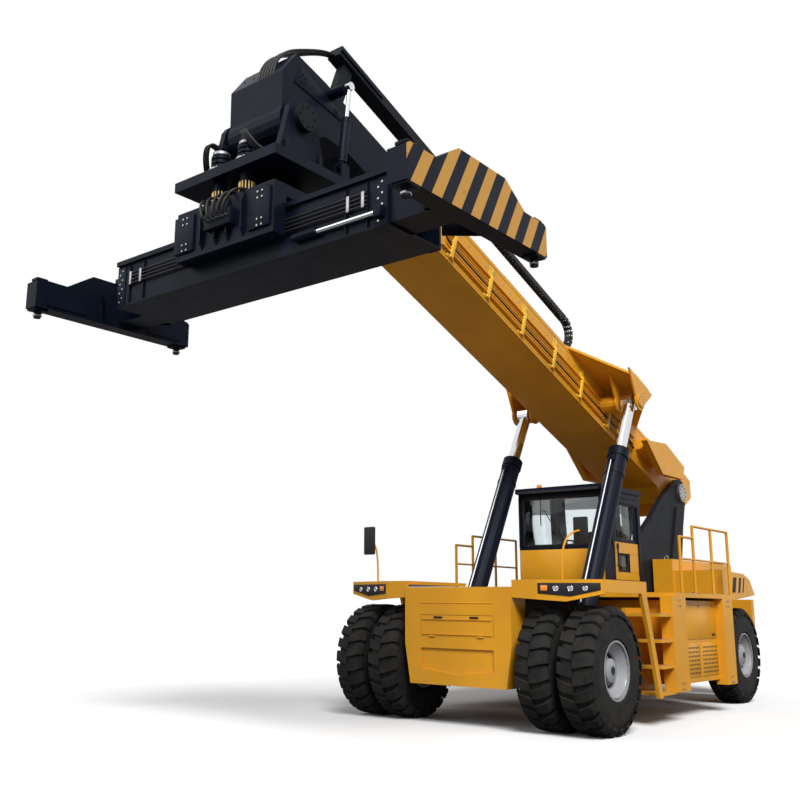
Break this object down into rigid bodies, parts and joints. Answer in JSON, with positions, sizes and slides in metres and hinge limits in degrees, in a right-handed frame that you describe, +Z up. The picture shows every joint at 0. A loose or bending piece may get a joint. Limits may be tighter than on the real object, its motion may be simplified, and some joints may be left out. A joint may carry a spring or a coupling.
{
  "type": "reach stacker",
  "caption": "Port machine with a telescopic boom and a slewing container spreader, cab, lift cylinders, twin front wheels and steered rear wheels.",
  "frame": {"origin": "on the ground, under the middle of the machine's box", "axes": "+Z up, +Y towards the counterweight so that -Y is the machine's front, +X towards the machine's left side"},
  "size_m": [6.04, 13.5364, 8.5912],
  "materials": {
    "amber_paint": "gloss amber-yellow machine paint",
    "navy_paint": "satin near-black navy paint",
    "graphite_paint": "satin dark graphite paint",
    "tyre_rubber": "matte black rubber",
    "rim_silver": "silver wheel paint",
    "chrome_rod": "hard chrome",
    "black_plastic": "matte black plastic",
    "seat_fabric": "dark woven cloth"
  },
  "bodies": {
    "chassis": {"chassis_frame": "graphite_paint", "front_axle": "graphite_paint", "rear_axle": "graphite_paint", "nose_box": "amber_paint", "left_fender": "amber_paint", "right_fender": "amber_paint", "left_side_box": "amber_paint", "right_side_box": "amber_paint", "left_handrail": "amber_paint", "right_handrail": "amber_paint", "engine_block": "graphite_paint", "engine_hood": "amber_paint", "left_rear_fender": "amber_paint", "right_rear_fender": "amber_paint", "counterweight": "amber_paint", "boom_tower": "graphite_paint", "cab_floor": "graphite_paint", "cab_roof": "navy_paint", "cab_front": "navy_paint", "cab_rear": "navy_paint", "cab_right_side": "navy_paint", "cab_left_side": "navy_paint", "seat": "seat_fabric", "console": "black_plastic"},
    "hatch": {"nose_hatch": "amber_paint"},
    "door": {"cab_door": "navy_paint"},
    "boom": {"outer_boom": "amber_paint", "energy_chain": "black_plastic"},
    "telescope": {"inner_boom": "navy_paint", "chain_tray": "graphite_paint"},
    "hanger": {"spreader_hanger": "navy_paint"},
    "slew_frame": {"rotator": "navy_paint"},
    "beam": {"spreader_beam": "navy_paint"},
    "front_left_wheel": {"front_left_inner_tyre": "tyre_rubber", "front_left_outer_tyre": "tyre_rubber", "front_left_rim": "rim_silver"},
    "left_steer_knuckle": {"left_knuckle": "graphite_paint"},
    "rear_left_wheel": {"rear_left_tyre": "tyre_rubber", "rear_left_rim": "rim_silver"},
    "left_lift_barrel": {"left_lift_barrel": "navy_paint"},
    "left_lift_rod": {"left_lift_rod": "chrome_rod"},
    "left_damper_barrel": {"left_damper_barrel": "navy_paint"},
    "left_damper_rod": {"left_damper_rod": "chrome_rod"},
    "left_arm": {"left_arm": "navy_paint"},
    "front_right_wheel": {"front_right_inner_tyre": "tyre_rubber", "front_right_outer_tyre": "tyre_rubber", "front_right_rim": "rim_silver"},
    "right_steer_knuckle": {"right_knuckle": "graphite_paint"},
    "rear_right_wheel": {"rear_right_tyre": "tyre_rubber", "rear_right_rim": "rim_silver"},
    "right_lift_barrel": {"right_lift_barrel": "navy_paint"},
    "right_lift_rod": {"right_lift_rod": "chrome_rod"},
    "right_damper_barrel": {"right_damper_barrel": "navy_paint"},
    "right_damper_rod": {"right_damper_rod": "chrome_rod"},
    "right_arm": {"right_arm": "navy_paint"}
  },
  "joints": [
    {"name": "boom_lift", "type": "hinge", "parent": "chassis", "child": "boom", "pos_m": [0, 5.2182, 3.8], "axis": [-1, 0, 0], "range_deg": [-15, 40]},
    {"name": "boom_extend", "type": "slide", "parent": "boom", "child": "telescope", "axis": [0, 0.9409, -0.3387], "range_m": [-4.8, 1.55]},
    {"name": "spreader_tilt", "type": "hinge", "parent": "telescope", "child": "hanger", "pos_m": [0, -5.5232, 7.17612], "axis": [1, 0, 0], "range_deg": [-15, 40]},
    {"name": "slew", "type": "hinge", "parent": "hanger", "child": "slew_frame", "pos_m": [0, -5.5232, 6.28], "axis": [0, 0, 1], "range_deg": [-105, 195]},
    {"name": "side_shift", "type": "slide", "parent": "slew_frame", "child": "beam", "axis": [1, 0, 0], "range_m": [-0.8, 0.8]},
    {"name": "nose_hatch_swing", "type": "hinge", "parent": "chassis", "child": "hatch", "pos_m": [0, -1.6198, 1.204], "axis": [1, 0, 0], "range_deg": [0, 90]},
    {"name": "door_swing", "type": "hinge", "parent": "chassis", "child": "door", "pos_m": [0.792, 2.7862, 2.04], "axis": [0, 0, 1], "range_deg": [0, 90]},
    {"name": "front_left_roll", "type": "hinge", "parent": "chassis", "child": "front_left_wheel", "pos_m": [1.83, -0.9818, 0.82], "axis": [1, 0, 0], "continuous": true},
    {"name": "left_steer", "type": "hinge", "parent": "chassis", "child": "left_steer_knuckle", "pos_m": [0.98, 5.0182, 0.82], "axis": [0, 0, 1], "range_deg": [-45, 45]},
    {"name": "rear_left_roll", "type": "hinge", "parent": "left_steer_knuckle", "child": "rear_left_wheel", "pos_m": [1.48, 5.0182, 0.82], "axis": [1, 0, 0], "continuous": true},
    {"name": "left_lift_lean", "type": "hinge", "parent": "chassis", "child": "left_lift_barrel", "pos_m": [1, 0.1022, 1.18], "axis": [-1, 0, 0], "range_deg": [-1.6, 4.1]},
    {"name": "left_lift_stroke", "type": "slide", "parent": "left_lift_barrel", "child": "left_lift_rod", "axis": [0, 0.484, 0.8751], "range_m": [-0.83, 2.19]},
    {"name": "left_damper_lean", "type": "hinge", "parent": "hanger", "child": "left_damper_barrel", "pos_m": [0.75, -5.0232, 6.71], "axis": [-1, 0, 0], "range_deg": [-10.6, 28.1]},
    {"name": "left_damper_stroke", "type": "slide", "parent": "left_damper_barrel", "child": "left_damper_rod", "axis": [0, 0.1193, 0.9929], "range_m": [-0.375, 0.142]},
    {"name": "left_arm_extend", "type": "slide", "parent": "beam", "child": "left_arm", "axis": [1, 0, 0], "range_m": [0, 3.066]},
    {"name": "front_right_roll", "type": "hinge", "parent": "chassis", "child": "front_right_wheel", "pos_m": [-1.83, -0.9818, 0.82], "axis": [1, 0, 0], "continuous": true},
    {"name": "right_steer", "type": "hinge", "parent": "chassis", "child": "right_steer_knuckle", "pos_m": [-0.98, 5.0182, 0.82], "axis": [0, 0, 1], "range_deg": [-45, 45]},
    {"name": "rear_right_roll", "type": "hinge", "parent": "right_steer_knuckle", "child": "rear_right_wheel", "pos_m": [-1.48, 5.0182, 0.82], "axis": [1, 0, 0], "continuous": true},
    {"name": "right_lift_lean", "type": "hinge", "parent": "chassis", "child": "right_lift_barrel", "pos_m": [-1, 0.1022, 1.18], "axis": [-1, 0, 0], "range_deg": [-1.6, 4.1]},
    {"name": "right_lift_stroke", "type": "slide", "parent": "right_lift_barrel", "child": "right_lift_rod", "axis": [0, 0.484, 0.8751], "range_m": [-0.83, 2.19]},
    {"name": "right_damper_lean", "type": "hinge", "parent": "hanger", "child": "right_damper_barrel", "pos_m": [-0.75, -5.0232, 6.71], "axis": [-1, 0, 0], "range_deg": [-10.6, 28.1]},
    {"name": "right_damper_stroke", "type": "slide", "parent": "right_damper_barrel", "child": "right_damper_rod", "axis": [0, 0.1193, 0.9929], "range_m": [-0.375, 0.142]},
    {"name": "right_arm_extend", "type": "slide", "parent": "beam", "child": "right_arm", "axis": [-1, 0, 0], "range_m": [0, 3.066]}
  ],
  "couplings": [
    {"joint": "left_lift_lean", "follows": "boom_lift", "ratio": 0.1},
    {"joint": "left_lift_stroke", "follows": "boom_lift", "m_per_rad": 3.12},
    {"joint": "left_damper_lean", "follows": "spreader_tilt", "ratio": 0.7},
    {"joint": "left_damper_stroke", "follows": "spreader_tilt", "m_per_rad": -0.53},
    {"joint": "right_lift_lean", "follows": "boom_lift", "ratio": 0.1},
    {"joint": "right_lift_stroke", "follows": "boom_lift", "m_per_rad": 3.12},
    {"joint": "right_damper_lean", "follows": "spreader_tilt", "ratio": 0.7},
    {"joint": "right_damper_stroke", "follows": "spreader_tilt", "m_per_rad": -0.53},
    {"joint": "right_arm_extend", "follows": "left_arm_extend", "ratio": 1},
    {"joint": "right_steer", "follows": "left_steer", "ratio": 1}
  ]
}
